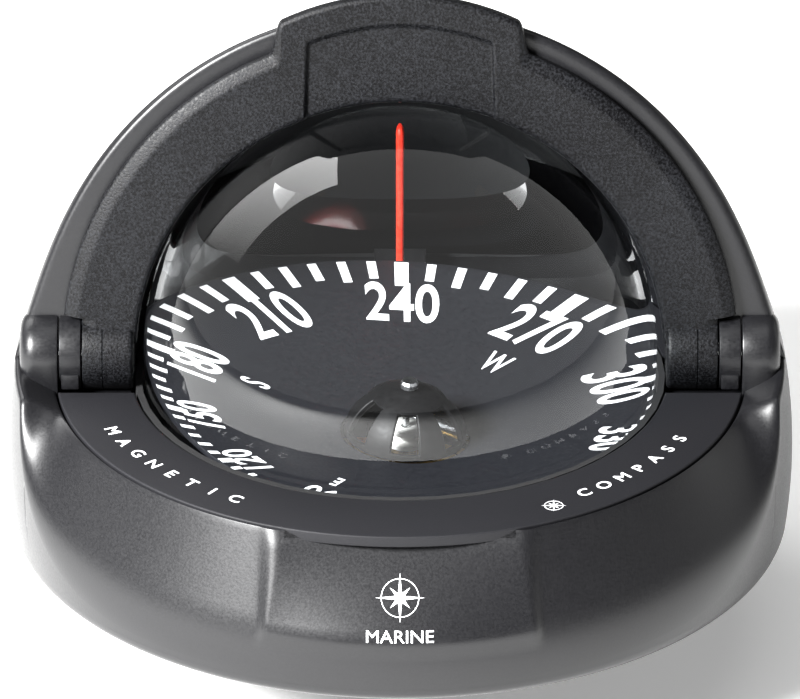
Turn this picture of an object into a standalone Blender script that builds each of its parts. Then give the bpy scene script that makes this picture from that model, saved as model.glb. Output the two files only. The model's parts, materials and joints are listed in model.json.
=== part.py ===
"""Flush-mount marine steering compass with a swing-over visor.

The frame: +Z up, origin at the centre of the panel cut-out, level with the
panel's face. The helmsman looks along +Y. The visor's hinge line runs along X
through the dome's centre.
"""
from math import asin, cos, degrees, exp, pi, radians, sin, sqrt

import bmesh
import bpy
from mathutils import Matrix, Vector

MM = 0.001
GAP = 0.3                    # clearance between pieces that touch

# ---- driving dimensions, millimetres ----
PIVOT_Z = 40.1               # hinge line and dome centre above the panel
DOME_R = 56.0
DOME_WALL = 2.4
PLATE_TOP = 34.4
PLATE_T = 2.5
PLATE_R = 74.8
PLATE_HOLE_R = 58.2
REAR_TRIM_R = 65.0
FLANK_R = 85.8               # widest radius of the housing
FLANK_Z = 17.0               # its height
FLANK_CURVE = 1.19
FOOT_FILLET = 3.0
HOOD_R = 78.1                # rim radius of the fixed hood, about the pivot
HOOD_FLARE = 5.5
HOOD_FLARE_DEG = 12.0
HOOD_SQUASH = 0.13           # how much the hood falls away behind its rim
HOOD_CAVITY_R = 69.4
SHELL_R = 68.7               # visor shell, outside
SHELL_WALL = 2.2
LEAN_DEG = 9.5               # the open visor leans back by this much
FACE_OFFSET = 5.4            # visor face ahead of the hinge line
HOOD_OFFSET = 1.6            # hood rim face ahead of the hinge line
WEB_INNER_R = 57.2
WEB_R = 70.7
LIP_R = 73.5
HUB_R = 8.5
HUB_IN, HUB_OUT = 57.9, 69.0
BUSH_IN, BUSH_OUT = 69.3, 74.0
KNUCKLE_IN, KNUCKLE_OUT = 74.3, 82.6
PIN_R = 2.5
TAIL_DEG = 197.0             # visor shell's tail, open, from straight ahead
FLANGE_R = 60.5              # capsule flanges
BORE_R = 60.8                # the housing's bore around them
GIMBAL_Z = 17.0
CARD_R = 40.0
CARD_Z = 27.6                # card rim, top face
ROLL_DEG = 4.5               # the base stands on a slight slope, so the level card
PITCH_DEG = 5.2              # and its gimbal lean by this much against it at rest
INSERT_PCD = 144.0
PANEL_HALF = 29.6            # grip recess, half width at its foot
PANEL_TAPER = 0.83           # and how much narrower it is at the top
MAGNET_HALF = 3.7            # compensator magnets, half length
GEAR_PITCH_R = 4.2
GEAR_TEETH = 10

SIDES = 44
BODY = "compass"

for old in list(bpy.data.objects):
    bpy.data.objects.remove(old)

scene = bpy.context.scene
parts = bpy.data.collections.new(BODY)
tools = bpy.data.collections.new("cutters")
scene.collection.children.link(parts)
scene.collection.children.link(tools)


# ---- materials ----
def finish(name, hex_colour, roughness, metallic=0.0, alpha=1.0):
    material = bpy.data.materials.new(name)
    material.use_nodes = True
    shader = material.node_tree.nodes["Principled BSDF"]
    rgb = [int(hex_colour[i:i + 2], 16) / 255 for i in (0, 2, 4)]
    linear = [c / 12.92 if c <= 0.04045 else ((c + 0.055) / 1.055) ** 2.4 for c in rgb]
    shader.inputs["Base Color"].default_value = (*linear, 1)
    shader.inputs["Roughness"].default_value = roughness
    shader.inputs["Metallic"].default_value = metallic
    shader.inputs["Alpha"].default_value = alpha
    return material


HOUSING = finish("satin_black_asa", "2a2a2d", 0.38)
PLATE = finish("matt_black_pbt", "232327", 0.7)
VISOR = finish("textured_black_asa", "1d1e20", 0.6)
CLEAR = finish("clear_acrylic", "f4f6f8", 0.03, alpha=0.3)
RUBBER = finish("nitrile_rubber", "161617", 0.8)
NYLON = finish("black_acetal", "202022", 0.5)
WHITE = finish("white_acetal", "e9e9e4", 0.45)
CARD = finish("printed_card", "33343a", 0.55)
RED = finish("red_lubber_enamel", "ff3a28", 0.4)
STEEL = finish("stainless_steel", "b9bbbd", 0.3, 1.0)
BRASS = finish("machined_brass", "b5924c", 0.35, 1.0)
MAGNET = finish("nickel_plated_magnet", "9c9ea0", 0.3, 1.0)
SAPPHIRE = finish("sapphire_jewel", "c9b3d8", 0.1)


# ---- modelling helpers ----
def link(name, mesh, group=parts):
    thing = bpy.data.objects.new(name, mesh)
    group.objects.link(thing)
    if group is tools:
        thing.hide_render = True
        thing.display_type = "WIRE"
    return thing


def from_bmesh(name, bm, group=parts):
    bmesh.ops.recalc_face_normals(bm, faces=bm.faces)
    mesh = bpy.data.meshes.new(name)
    bm.to_mesh(mesh)
    bm.free()
    return link(name, mesh, group)


def baked(thing):
    """Apply the live modifiers, so that a shape can be cut and shared."""
    evaluated = thing.evaluated_get(bpy.context.evaluated_depsgraph_get())
    mesh = bpy.data.meshes.new_from_object(evaluated)
    thing.modifiers.clear()
    thing.data = mesh
    return thing


def turned(name, outline, group=parts, sides=SIDES):
    """Screw an outline of (radius, height) points, outer side first, top to bottom."""
    bm = bmesh.new()
    dots = [bm.verts.new((r * MM, 0, z * MM)) for r, z in outline]
    for a, b in zip(dots, dots[1:]):
        bm.edges.new((a, b))
    if outline[0][0] > 0 or outline[-1][0] > 0:
        bm.edges.new((dots[-1], dots[0]))
    mesh = bpy.data.meshes.new(name)
    bm.to_mesh(mesh)
    bm.free()
    thing = link(name, mesh, group)
    screw = thing.modifiers.new("turn", "SCREW")
    screw.axis = "Z"
    screw.steps = sides
    screw.render_steps = sides
    screw.use_merge_vertices = True
    screw.merge_threshold = 1e-6
    screw.use_normal_calculate = False
    bpy.context.view_layer.update()
    baked(thing)
    bm = bmesh.new()
    bm.from_mesh(thing.data)
    bmesh.ops.remove_doubles(bm, verts=bm.verts, dist=1e-6)
    bmesh.ops.recalc_face_normals(bm, faces=bm.faces)
    bm.to_mesh(thing.data)
    bm.free()
    return thing


def arc(radius, start_deg, end_deg, steps, centre=(0.0, PIVOT_Z)):
    """Points on a circle in the turning plane; 0 is outward, 90 is up."""
    points = []
    for i in range(steps + 1):
        a = radians(start_deg + (end_deg - start_deg) * i / steps)
        points.append((abs(centre[0] + radius * cos(a)) if abs(cos(a)) > 1e-9 else centre[0],
                       centre[1] + radius * sin(a)))
    return points


def down_to(radius, z):
    """The angle at which a circle about the pivot reaches a height."""
    return -degrees(asin((PIVOT_Z - z) / radius))


def block(name, low, high, group=parts):
    bm = bmesh.new()
    bmesh.ops.create_cube(bm, size=1)
    size = [(b - a) * MM for a, b in zip(low, high)]
    mid = [(a + b) / 2 * MM for a, b in zip(low, high)]
    bmesh.ops.scale(bm, vec=size, verts=bm.verts)
    bmesh.ops.translate(bm, vec=mid, verts=bm.verts)
    return from_bmesh(name, bm, group)


def rod(name, radius, start, end, group=parts, sides=20):
    """A cylinder between two points, millimetres."""
    a, b = Vector(start), Vector(end)
    bm = bmesh.new()
    bmesh.ops.create_cone(bm, cap_ends=True, segments=sides, radius1=radius * MM,
                          radius2=radius * MM, depth=(b - a).length * MM)
    turn = Vector((0, 0, 1)).rotation_difference(b - a).to_matrix().to_4x4()
    bmesh.ops.transform(bm, matrix=Matrix.Translation((a + b) / 2 * MM) @ turn, verts=bm.verts)
    return from_bmesh(name, bm, group)


def ball(name, radius, centre, group=tools, rings=20):
    bm = bmesh.new()
    bmesh.ops.create_uvsphere(bm, u_segments=2 * rings, v_segments=rings, radius=radius * MM)
    bmesh.ops.translate(bm, vec=Vector(centre) * MM, verts=bm.verts)
    return from_bmesh(name, bm, group)


def boolean(thing, other, operation):
    step = thing.modifiers.new(operation.lower(), "BOOLEAN")
    step.operation = operation
    step.solver = "EXACT"
    step.object = other
    bpy.context.view_layer.update()
    baked(thing)
    bpy.data.objects.remove(other)
    bm = bmesh.new()
    bm.from_mesh(thing.data)
    bmesh.ops.remove_doubles(bm, verts=bm.verts, dist=2e-6)
    bmesh.ops.dissolve_degenerate(bm, edges=bm.edges, dist=2e-6)
    bm.to_mesh(thing.data)
    bm.free()
    return thing


def cut(thing, *others):
    for other in others:
        boolean(thing, other, "DIFFERENCE")
    return thing


def join(thing, *others):
    for other in others:
        boolean(thing, other, "UNION")
    return thing


def common(thing, *others):
    for other in others:
        boolean(thing, other, "INTERSECT")
    return thing


def tilted(thing, degrees_back, about=(0, 0, PIVOT_Z)):
    """Turn a mesh about the hinge line; positive leans its top backward."""
    centre = Vector(about) * MM
    turn = Matrix.Rotation(radians(-degrees_back), 4, "X")
    thing.data.transform(Matrix.Translation(centre) @ turn @ Matrix.Translation(-centre))
    return thing


def moved(thing, x=0.0, y=0.0, z=0.0):
    thing.data.transform(Matrix.Translation(Vector((x, y, z)) * MM))
    return thing


def dress(thing, material, axis=None, smooth_deg=35):
    """Give a piece its finish, smooth its round faces, and hang it on its axis."""
    thing.data.materials.clear()
    thing.data.materials.append(material)
    thing.data.shade_smooth()
    thing.data.set_sharp_from_angle(angle=radians(smooth_deg))
    if axis is not None:
        thing.parent = axis
        thing.matrix_parent_inverse = Matrix.Translation(axis.location).inverted()
    return thing


def axis_empty(name, place):
    empty = bpy.data.objects.new(name, None)
    empty.location = Vector(place) * MM
    empty.empty_display_size = 0.01
    parts.objects.link(empty)
    return empty


# ---- shapes that the housing and its cutters share ----
def flank_radius(z):
    return FLANK_R - FLANK_CURVE * ((z - FLANK_Z) / FLANK_Z) ** 2


def housing_outline():
    """The outside, before the hood is shaped: from the crown down to the foot."""
    points = []
    for deg in (90, 79, 68, 57, 46, 36, 27, 19, 12, 6):
        r = HOOD_R + HOOD_FLARE * exp(-deg / HOOD_FLARE_DEG)
        points.append((0 if deg == 90 else r * cos(radians(deg)), PIVOT_Z + r * sin(radians(deg))))
    points += [(flank_radius(z), z) for z in (38, 28, 17, 8, FOOT_FILLET)]
    foot = flank_radius(FOOT_FILLET) - FOOT_FILLET
    points += [(foot + FOOT_FILLET * cos(radians(a)), FOOT_FILLET - FOOT_FILLET * sin(radians(a)))
               for a in (45, 90)]
    return points + [(0, 0)]


def shape_hood(mesh):
    """Behind the rim plane, the hood falls away from the dome shape."""
    lean = radians(LEAN_DEG)
    for vert in mesh.vertices:
        y, z = vert.co.y / MM, vert.co.z / MM - PIVOT_Z
        behind = min(y * cos(lean) - z * sin(lean) + HOOD_OFFSET, 80)
        if behind > 0 and z > 0:
            vert.co.z = (PIVOT_Z + z * (1 - HOOD_SQUASH * sin(pi * behind / 80))) * MM


def crease_height(ahead):
    """Height of the edge between apron and flank, by distance ahead of the hinge."""
    return min(10.4 + 26 * exp(-(ahead - 20) / 13), 38.0)


def grow_rim(bm, rim):
    """Extrude an edge loop; gives the new loop and its points."""
    grown = bmesh.ops.extrude_edge_only(bm, edges=rim)["geom"]
    fresh = {g for g in grown if isinstance(g, bmesh.types.BMVert)}
    return [e for e in bm.edges if set(e.verts) <= fresh], fresh


def apron_cutter():
    """Everything over the plate and the apron: a straight-sided loft."""
    bm = bmesh.new()
    inner, reach, top = PLATE_R + GAP, 30.0, 200.0
    bmesh.ops.create_circle(bm, cap_ends=True, segments=SIDES, radius=inner * MM)
    bmesh.ops.translate(bm, vec=(0, 0, PLATE_TOP * MM), verts=bm.verts)
    rim = list(bm.edges)
    for share, bulge in ((0.17, 0.8), (0.34, 0.8), (3.0, 0.0)):
        rim, fresh = grow_rim(bm, rim)
        for vert in fresh:
            flat = Vector((vert.co.x, vert.co.y)).normalized()
            crease = crease_height(-flat.y * 85)
            vert.co.x, vert.co.y = flat * (inner + share * reach + bulge) * MM
            vert.co.z = (PLATE_TOP - share * 3 * (PLATE_TOP - crease) + bulge) * MM
    rim, fresh = grow_rim(bm, rim)
    for vert in fresh:
        vert.co.z = top * MM
    bmesh.ops.edgeloop_fill(bm, edges=rim)
    clear = from_bmesh("cut_apron", bm, tools)
    ahead = block("keep_ahead", (-150, -200, -150), (150, -HOOD_OFFSET, 250), tools)
    return common(clear, tilted(ahead, LEAN_DEG))


def half(name, low_y=-200.0, high_y=200.0, low_z=-200.0, high_z=300.0):
    return block(name, (-200, low_y, low_z), (200, high_y, high_z), tools)


# ---- base housing ----
def make_housing():
    body = turned("base_housing", housing_outline())
    shape_hood(body.data)
    cut(body, apron_cutter())
    # the hood's inside, above the deck
    deck = PLATE_TOP - PLATE_T - GAP
    cavity = common(ball("cut_cavity", HOOD_CAVITY_R, (0, 0, PIVOT_Z)),
                    half("above_deck", low_z=deck + 0.1))
    # the slot that the open visor's tail drops into
    slot = ball("cut_slot", HOOD_CAVITY_R - 0.25, (0, 0, PIVOT_Z), rings=18)
    cut(slot, ball("slot_core", SHELL_R - SHELL_WALL - 0.4, (0, 0, PIVOT_Z)))
    tail = tilted(half("tail", low_z=PIVOT_Z), TAIL_DEG - 180 + 0.7)
    common(slot, tail, half("rear", low_y=0.5, high_z=deck + 1))
    # seat for the bezel plate, and the bore for the capsule
    seat = rod("cut_seat", PLATE_R + GAP, (0, 0, deck), (0, 0, PLATE_TOP + 6), tools, SIDES)
    cut(body, cavity, slot, common(seat, half("front", high_y=-4)))
    cut(body, rod("cut_bore", BORE_R, (0, 0, -5), (0, 0, 28.6), tools, SIDES),
        rod("cut_neck", PLATE_HOLE_R + 0.4, (0, 0, 20), (0, 0, 33), tools, SIDES - 2))
    return body


def finish_housing(body):
    # recess in the apron for the visor's grip, deepest under the bezel plate
    recess = turned("cut_recess", [(96, PLATE_TOP + 2), (96, 12.0), (86.3, 12.0), (70.0, PLATE_TOP + 2)], tools)
    wedge = block("wedge", (-PANEL_HALF, -120, 8), (PANEL_HALF, -40, PLATE_TOP + 3), tools)
    for vert in wedge.data.vertices:
        vert.co.x *= 1 if vert.co.z < 20 * MM else PANEL_TAPER
    cut(body, common(recess, wedge))
    # hinge knuckles with their skirts
    for side in (-1, 1):
        knuckle = rod("knuckle", HUB_R, (side * KNUCKLE_IN, 0, PIVOT_Z), (side * KNUCKLE_OUT, 0, PIVOT_Z),
                      tools, 28)
        low, high = sorted_box((side * KNUCKLE_IN, -HUB_R + 0.02, 20),
                               (side * KNUCKLE_OUT, HUB_R - 0.02, PIVOT_Z))
        join(knuckle, block("skirt", low, high, tools))
        join(body, knuckle)
        room = rod("cut_room", HUB_R + 0.4, (side * (HUB_IN - 0.7), 0, PIVOT_Z),
                   (side * KNUCKLE_IN, 0, PIVOT_Z), tools, 28)
        hole = rod("cut_pin", PIN_R + 0.1, (side * 66, 0, PIVOT_Z), (side * 80.4, 0, PIVOT_Z), tools)
        cut(body, room, hole)
    # hollow under the apron, gasket seat and bosses for the inserts
    low = turned("cut_low", [(80.6, 17), (80.9, -5), (64.5, -5), (64.5, 17)], tools)
    front = turned("cut_front", [(71.5, 28), (80.0, 9), (80.0, 5), (65.1, 5), (65.1, 28)], tools)
    rear = turned("cut_rear", [(76, 52), (80, 40), (80.2, 12), (72.5, 12), (72.5, 47)], tools)
    cut(body, low, common(front, half("front", high_y=-16)), common(rear, half("rear", low_y=18)))
    for x, y in insert_places():
        join(body, rod("boss", 5.2, (x, y, 1.2), (x, y, 20 if y < 0 else 18), tools))
    cut(body, rod("cut_gasket_seat", 80.3, (0, 0, -5), (0, 0, 1.8), tools, SIDES))
    for x, y in insert_places():
        cut(body, rod("cut_insert", 3.3, (x, y, -4), (x, y, 11.5), tools))
    return dress(body, HOUSING)


def sorted_box(a, b):
    return [min(p, q) for p, q in zip(a, b)], [max(p, q) for p, q in zip(a, b)]


def insert_places():
    reach = INSERT_PCD / 2 * cos(radians(45))
    return [(sx * reach, sy * reach) for sx in (1, -1) for sy in (1, -1)]


# ---- bezel plate and rear trim, gasket, inserts ----
def make_plates():
    low = PLATE_TOP - PLATE_T
    for name, radius, part in (("bezel_plate", PLATE_R, half("front", high_y=-HUB_R - 0.6)),
                               ("rear_trim", REAR_TRIM_R, half("rear", low_y=HUB_R + 0.6))):
        plate = rod(name, radius, (0, 0, low), (0, 0, PLATE_TOP), parts, SIDES)
        cut(plate, rod("cut_hole", PLATE_HOLE_R, (0, 0, 0), (0, 0, 60), tools, SIDES))
        dress(common(plate, part), PLATE)


def make_base_fittings():
    gasket = turned("flange_gasket", [(80.0, 1.5), (80.0, 0), (66.0, 0), (66.0, 1.5)])
    for x, y in insert_places():
        cut(gasket, rod("cut_screw", 3.6, (x, y, -4), (x, y, 5), tools))
    dress(gasket, RUBBER)
    for number, (x, y) in enumerate(insert_places(), 1):
        name = "mounting_insert_%d" % number
        insert = turned(name, [(3.0, 11.2), (3.0, 2.1), (2.1, 2.1), (2.1, 11.2)], sides=16)
        dress(moved(insert, x, y), BRASS)


# ---- liquid capsule ----
def make_capsule():
    dome = turned("dome", arc(DOME_R, 90, down_to(DOME_R, 27.0), 11)
                  + [(FLANGE_R, 27.0), (FLANGE_R, 24.0)]
                  + arc(DOME_R - DOME_WALL, down_to(DOME_R - DOME_WALL, 24.0), 90, 11))
    dress(dome, CLEAR)
    dress(turned("dome_seal", [(57.8, 34.0), (57.8, 28.3), (60.4, 28.3), (60.4, 27.3), (56.4, 27.3),
                               (56.4, 34.0)]), RUBBER)
    dress(turned("capsule_gasket", [(60.3, 23.7), (60.3, 22.4), (52.6, 22.4), (52.6, 23.7)]), RUBBER)
    bowl_r = DOME_R + 0.1
    inner_r = bowl_r - 2.5
    low_z = PIVOT_Z - sqrt(bowl_r ** 2 - 24.0 ** 2)
    bowl = turned("capsule_bowl", [(FLANGE_R, 22.1), (FLANGE_R, 19.4)]
                  + arc(bowl_r, down_to(bowl_r, 19.4), down_to(bowl_r, low_z), 4)
                  + [(24.0, -17.0), (18.0, -17.0)]
                  + arc(inner_r, down_to(inner_r, PIVOT_Z - sqrt(inner_r ** 2 - 18.0 ** 2)),
                        down_to(inner_r, 22.1), 6))
    for x in (34, -34):
        boss = rod("boss", 6.5, (x, 0, -12), (x, 0, 2), tools)
        join(bowl, cut(boss, ball("core", inner_r + 0.6, (0, 0, PIVOT_Z))))
    cut(bowl, rod("cut_fill", 3.2, (34, 0, -14), (34, 0, 8), tools),
        rod("cut_lamp", 4.3, (-34, 0, -14), (-34, 0, 8), tools))
    for x, y in cover_screw_places():
        cut(bowl, rod("cut_screw", 1.4, (x, y, -20), (x, y, -12.5), tools, 16))
    dress(bowl, NYLON)
    ring = turned("retaining_ring", [(60.4, 19.1), (60.4, 13.0), (53.6, 13.0), (53.6, 19.1)])
    for angle in (0, 90):
        slot = block("cut_notch", (-70, -3, 10), (70, 3, 15.5), tools)
        slot.data.transform(Matrix.Rotation(radians(angle), 4, "Z"))
        cut(ring, slot)
    dress(ring, NYLON)


def cover_screw_places():
    return [(21 * cos(radians(a)), 21 * sin(radians(a))) for a in (45, 135, 225, 315)]


def make_expansion():
    skin = turned("diaphragm", [(0, -15.8), (6, -16.0), (10, -17.0), (13, -17.3), (23.8, -17.3),
                                (23.8, -18.6), (13, -18.6), (9, -18.2), (5, -17.2), (0, -17.0)],
                  sides=24)
    cover = turned("diaphragm_cover", [(24.0, -18.9), (24.0, -25.5), (23.0, -26.5), (2.5, -26.5),
                                       (2.5, -24.5), (17.8, -24.5), (17.8, -18.9)], sides=28)
    for number, (x, y) in enumerate(cover_screw_places(), 1):
        cut(skin, rod("cut_screw", 1.5, (x, y, -22), (x, y, -12), tools, 16))
        cut(cover, rod("cut_screw", 1.5, (x, y, -30), (x, y, -12), tools, 16))
        screw = turned("cover_screw_%d" % number, [(0, -13.0), (1.1, -13.0), (1.1, -26.8), (2.4, -26.8),
                                                   (2.4, -28.0), (0, -28.0)], sides=12)
        moved(screw, x, y)
        cut(screw, block("cut_drive", (x - 3, y - 0.35, -29), (x + 3, y + 0.35, -27.4), tools))
        dress(screw, STEEL)
    dress(skin, RUBBER)
    dress(cover, NYLON)


def make_bowl_fittings():
    plug = rod("filler_plug", 5.2, (34, 0, -16.8), (34, 0, -13.2), parts, 6)
    join(plug, rod("shank", 2.9, (34, 0, -13.4), (34, 0, -2.5), tools))
    dress(plug, BRASS)
    dress(moved(turned("filler_washer", [(6.0, -12.3), (6.0, -12.9), (3.3, -12.9), (3.3, -12.3)],
                       sides=20), 34), RUBBER)
    holder = turned("lamp_holder", [(3.9, -2.4), (3.9, -12.3), (6.3, -12.3), (6.3, -14.0), (1.6, -14.0),
                                    (1.6, -5.0), (3.0, -5.0), (3.0, -2.4)], sides=20)
    dress(moved(holder, -34), NYLON)
    lens = turned("lamp_lens", arc(3.2, 90, 0, 3, (0, -2.1)) + [(0, -2.1)], sides=16)
    dress(moved(lens, -34), CLEAR)
    gland = turned("cable_gland", [(5.5, -14.3), (5.5, -17.5), (3.2, -22.0), (1.3, -22.0), (1.3, -14.3)],
                   sides=16)
    dress(moved(gland, -34), RUBBER)


# ---- compensator: two pairs of geared shafts that carry magnets ----
def gear_places():
    return [(-15.5, 37.0), (-7.1, 37.0), (7.1, 37.0), (15.5, 37.0)]


def gear_blank(name, phase_deg):
    """A ten-tooth spur gear outline, extruded."""
    bm = bmesh.new()
    pitch = 2 * pi / GEAR_TEETH
    dots = []
    for tooth in range(GEAR_TEETH):
        middle = tooth * pitch + radians(phase_deg)
        for share, radius in ((-0.27, 3.3), (-0.12, 4.75), (0.12, 4.75), (0.27, 3.3)):
            a = middle + share * pitch
            dots.append(bm.verts.new((radius * cos(a) * MM, radius * sin(a) * MM, -16.6 * MM)))
    face = bm.faces.new(dots)
    grown = bmesh.ops.extrude_face_region(bm, geom=[face])["geom"]
    top = [g for g in grown if isinstance(g, bmesh.types.BMVert)]
    bmesh.ops.translate(bm, vec=(0, 0, 3 * MM), verts=top)
    return from_bmesh(name, bm)


def make_compensator():
    body = block("compensator_body", (-22.5, 29.5, -17.0), (22.5, 44.5, 12))
    cut(body, ball("cut_bowl", DOME_R + 0.5, (0, 0, PIVOT_Z)))
    cut(body, block("cut_room", (-21, 31, -18), (21, 43, -10.6), tools))
    cut(body, block("cut_top", (-30, 20, -4.5), (30, 60, 30), tools))
    cover = block("compensator_cover", (-22.5, 29.5, -19.3), (22.5, 44.5, -17.3))
    for x, y in gear_places():
        cut(body, rod("cut_bearing", 1.3, (x, y, -12), (x, y, -9.0), tools, 14))
        cut(cover, rod("cut_bearing", 1.3, (x, y, -21), (x, y, -15), tools, 14))
    dress(body, NYLON)
    dress(cover, NYLON)
    for number, (x, y) in enumerate(gear_places(), 1):
        axis = axis_empty("compensator_axis_%d" % number, (x, y, -15))
        driven = number in (2, 3)
        gear = gear_blank("compensator_gear_%d" % number, 180 / GEAR_TEETH if driven else 0)
        join(gear, rod("shaft", 1.2, (0, 0, -19.2), (0, 0, -9.2), tools, 14))
        if not driven:
            cut(gear, block("cut_slot", (-2, -0.3, -20), (2, 0.3, -18.5), tools))
        dress(moved(gear, x, y), BRASS, axis)
        bar = block("compensator_magnet_%d" % number, (x - MAGNET_HALF, y - 1.6, -13.3),
                    (x + MAGNET_HALF, y + 1.6, -11.4))
        cut(bar, rod("cut_shaft", 1.5, (x, y, -15), (x, y, -9), tools, 14))
        dress(bar, MAGNET, axis)


# ---- gimbal ----
def make_gimbal():
    yoke = turned("gimbal_yoke", [(24.5, -3.9), (24.5, -6.9), (18.9, -6.9), (18.9, -3.9)], sides=28)
    for side in (-1, 1):
        low, high = sorted_box((-4, side * 18.5, -6), (4, side * 21.8, 18.9))
        join(yoke, block("upright", low, high, tools))
        cut(yoke, rod("cut_pin", 1.1, (0, side * 16, GIMBAL_Z), (0, side * 24, GIMBAL_Z), tools, 14))
    dress(yoke, NYLON)
    roll = axis_empty("gimbal_roll_axis", (0, 0, GIMBAL_Z))
    pitch = axis_empty("gimbal_pitch_axis", (0, 0, GIMBAL_Z))
    for name, side in (("roll_pin_front", -1), ("roll_pin_rear", 1)):
        dress(rod(name, 1.0, (0, side * 15.2, GIMBAL_Z), (0, side * 21.6, GIMBAL_Z), parts, 20), STEEL)
    ring = turned("gimbal_ring", [(17.5, GIMBAL_Z + 1.5), (17.5, GIMBAL_Z - 1.5), (15, GIMBAL_Z - 1.5),
                                  (15, GIMBAL_Z + 1.5)], sides=28)
    cut(ring, rod("cut_roll", 1.1, (0, -30, GIMBAL_Z), (0, 30, GIMBAL_Z), tools, 14),
        rod("cut_pitch", 1.1, (-30, 0, GIMBAL_Z), (30, 0, GIMBAL_Z), tools, 14))
    dress(ring, BRASS, roll)
    frame = rod("gimbal_frame", 6.0, (0, 0, GIMBAL_Z - 1.5), (0, 0, GIMBAL_Z + 1.5), parts, 32)
    join(frame, block("bar", (-14.6, -2.6, GIMBAL_Z - 1.5), (14.6, 2.6, GIMBAL_Z + 1.5), tools))
    for name, side in (("pitch_pin_left", -1), ("pitch_pin_right", 1)):
        cut(frame, rod("cut_pin", 1.1, (side * 10.5, 0, GIMBAL_Z), (side * 16, 0, GIMBAL_Z), tools, 14))
        dress(rod(name, 1.0, (side * 11, 0, GIMBAL_Z), (side * 17.2, 0, GIMBAL_Z), parts, 20), STEEL, roll)
    dress(frame, BRASS, pitch)
    dress(turned("counterweight", [(0, 15.2), (1.5, 15.2), (1.5, 12.0), (8.0, 12.0), (9.0, 11.0),
                                   (9.0, 4.5), (8.0, 3.5), (0, 3.5)], sides=20), BRASS, pitch)
    stem = turned("pivot_stem", [(0, 21.8), (0.8, 21.8), (0.8, 24.6), (2.0, 24.6), (2.0, 18.8), (0, 18.8)],
                  sides=16)
    dress(stem, BRASS, pitch)
    dress(turned("pivot_needle", [(0, 31.4), (0.5, 30.2), (0.5, 22.1), (0, 22.1)], sides=12),
          STEEL, pitch)
    dress(turned("pivot_collar", [(2.8, 28.0), (2.8, 27.2), (1.5, 27.0), (1.5, 26.0), (2.8, 25.8),
                                  (2.8, 24.9), (0.8, 24.9), (0.8, 28.0)], sides=20), WHITE, pitch)


# ---- card ----
def make_card():
    axis = axis_empty("card_axis", (0, 0, CARD_Z))
    disc = turned("card_disc", [(CARD_R, CARD_Z), (CARD_R, CARD_Z - 1.2), (CARD_R - 1, CARD_Z - 1.0),
                                (12, CARD_Z - 2.2), (9.4, CARD_Z - 2.2), (9.4, CARD_Z - 1.3),
                                (12, CARD_Z - 1.3), (CARD_R - 1.2, CARD_Z)])
    dress(disc, CARD, axis)
    base = CARD_Z - 1.4
    hub = turned("card_hub", [(0, base + 8.2)] + [(9.1 * sin(radians(a)), base + 8.2 * cos(radians(a)))
                 for a in (22, 45, 67, 90)] + [(8.2, base)]
                 + [(8.2 * sin(radians(a)), base + 7.3 * cos(radians(a))) for a in (67, 45, 22)]
                 + [(0, base + 7.3)], sides=24)
    for turn in range(6):
        window = block("cut_window", (-1.9, 3.4, base + 0.9), (1.9, 12, base + 6.6), tools)
        window.data.transform(Matrix.Rotation(radians(60 * turn), 4, "Z"))
        cut(hub, window)
    cut(hub, rod("cut_screw", 0.9, (0, 0, base + 6), (0, 0, base + 12), tools, 16))
    dress(hub, NYLON, axis)
    dress(turned("jewel", [(0, 33.2), (1.5, 33.2), (1.5, 31.7), (0.5, 31.7), (0, 32.4)], sides=20),
          SAPPHIRE, axis)
    screw = turned("hub_screw", [(0, base + 9.6), (1.1, base + 9.6), (1.4, base + 9.2), (1.4, base + 8.5),
                                 (0.7, base + 8.5), (0.7, base + 7.4), (0, base + 7.4)], sides=12)
    dress(screw, STEEL, axis)
    for number, side in ((1, -1), (2, 1)):
        bar = rod("card_magnet_%d" % number, 1.2, (side * 10, -8, 23.8), (side * 10, 8, 23.8), parts, 16)
        bar.data.transform(Matrix.Rotation(radians(-120), 4, "Z"))
        dress(bar, MAGNET, axis)


def hang_gimbal():
    """Lean the ring by the roll, and what it carries by the roll and the pitch."""
    centre = Matrix.Translation((0, 0, GIMBAL_Z * MM))
    roll = Matrix.Rotation(radians(ROLL_DEG), 4, "Y")
    pitch = Matrix.Rotation(radians(PITCH_DEG), 4, "X")
    ring = ("gimbal_ring", "pitch_pin_left", "pitch_pin_right")
    hung = ("gimbal_frame", "counterweight", "pivot_stem", "pivot_needle", "pivot_collar", "card_disc",
            "card_hub", "jewel", "hub_screw", "card_magnet_1", "card_magnet_2")
    for name in ring + hung:
        turn = roll if name in ring else roll @ pitch
        bpy.data.objects[name].data.transform(centre @ turn @ centre.inverted())


def make_lubber():
    dress(rod("lubber_line", 0.55, (0, 42.6, 25.2), (0, 42.6, 43.6), parts, 12), RED)
    dress(block("lubber_bracket", (-2.5, 42.05, 22.4), (2.5, 50.4, 24.9)), NYLON)


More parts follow.
